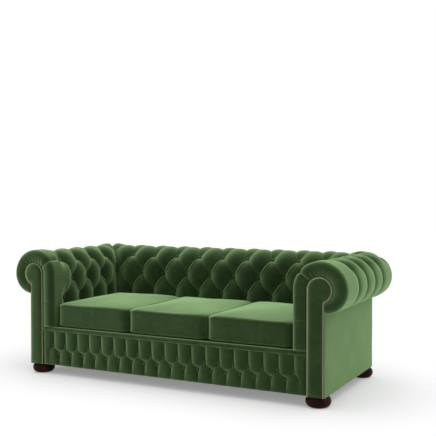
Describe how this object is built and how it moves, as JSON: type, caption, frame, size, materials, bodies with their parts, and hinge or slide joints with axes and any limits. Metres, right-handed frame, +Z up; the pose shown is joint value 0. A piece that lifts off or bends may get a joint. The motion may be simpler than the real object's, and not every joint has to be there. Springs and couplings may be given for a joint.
{
  "type": "chesterfield sofa",
  "caption": "Low-backed seat for three people with rolled, deep-buttoned arms and back at one height, loose seat cushions, nailed arm facings and turned bun feet.",
  "frame": {"origin": "on the floor under the middle of the sofa's bounding box", "axes": "+Z up, +X to the right as seen from the front, the sofa faces -Y"},
  "size_m": [2.1, 0.973, 0.74],
  "materials": {
    "beech": "planed and unfinished",
    "plywood": "sanded edges",
    "velvet": "green cotton velvet, short pile",
    "cushion_velvet": "green cotton velvet, short pile",
    "button_velvet": "velvet covered buttons",
    "antique_brass": "antique brass, domed",
    "spring_steel": "oiled wire",
    "zinc_plated_steel": "zinc plated",
    "hessian": "plain jute weave",
    "stuffing": "wadded felt",
    "platform_cloth": "plain green cotton",
    "black_cloth": "thin spunbond cloth",
    "foam": "open cell foam",
    "mahogany_stain": "turned, dark polish"
  },
  "bodies": {
    "sofa": {"frame_dowels": "beech", "front_seat_rail": "beech", "back_seat_rail": "beech", "left_side_seat_rail": "beech", "right_side_seat_rail": "beech", "seat_stretchers": "beech", "left_front_post": "beech", "right_front_post": "beech", "left_back_post": "beech", "right_back_post": "beech", "left_arm_top_rail": "beech", "right_arm_top_rail": "beech", "back_top_rail": "beech", "left_arm_tack_rail": "beech", "right_arm_tack_rail": "beech", "back_tack_rail": "beech", "back_uprights": "beech", "corner_blocks": "beech", "left_scroll_board": "plywood", "right_scroll_board": "plywood", "left_facing": "velvet", "right_facing": "velvet", "left_arm_pad": "velvet", "right_arm_pad": "velvet", "back_pad": "velvet", "front_border": "velvet", "seat_lip": "velvet", "left_side_panel": "velvet", "right_side_panel": "velvet", "back_panel": "velvet", "left_arm_buttons": "button_velvet", "right_arm_buttons": "button_velvet", "back_buttons": "button_velvet", "border_buttons": "button_velvet", "left_facing_nails": "antique_brass", "right_facing_nails": "antique_brass", "seat_springs": "spring_steel", "spring_clips": "zinc_plated_steel", "foot_studs": "zinc_plated_steel", "foot_plates": "zinc_plated_steel", "foot_plate_screws": "zinc_plated_steel", "spring_hessian": "hessian", "left_arm_lining": "hessian", "right_arm_lining": "hessian", "back_lining": "hessian", "seat_deck_pad": "stuffing", "platform_cloth": "platform_cloth", "dust_cover": "black_cloth", "foot_front_left": "mahogany_stain", "foot_front_right": "mahogany_stain", "foot_back_left": "mahogany_stain", "foot_back_right": "mahogany_stain"},
    "left_cushion": {"left_cushion_cover": "cushion_velvet", "left_cushion_core": "foam"},
    "centre_cushion": {"centre_cushion_cover": "cushion_velvet", "centre_cushion_core": "foam"},
    "right_cushion": {"right_cushion_cover": "cushion_velvet", "right_cushion_core": "foam"}
  },
  "joints": [
    {"name": "left_cushion_lift", "type": "slide", "parent": "sofa", "child": "left_cushion", "axis": [0, 0, 1], "range_m": [0, 0.48]},
    {"name": "centre_cushion_lift", "type": "slide", "parent": "sofa", "child": "centre_cushion", "axis": [0, 0, 1], "range_m": [0, 0.48]},
    {"name": "right_cushion_lift", "type": "slide", "parent": "sofa", "child": "right_cushion", "axis": [0, 0, 1], "range_m": [0, 0.48]}
  ]
}
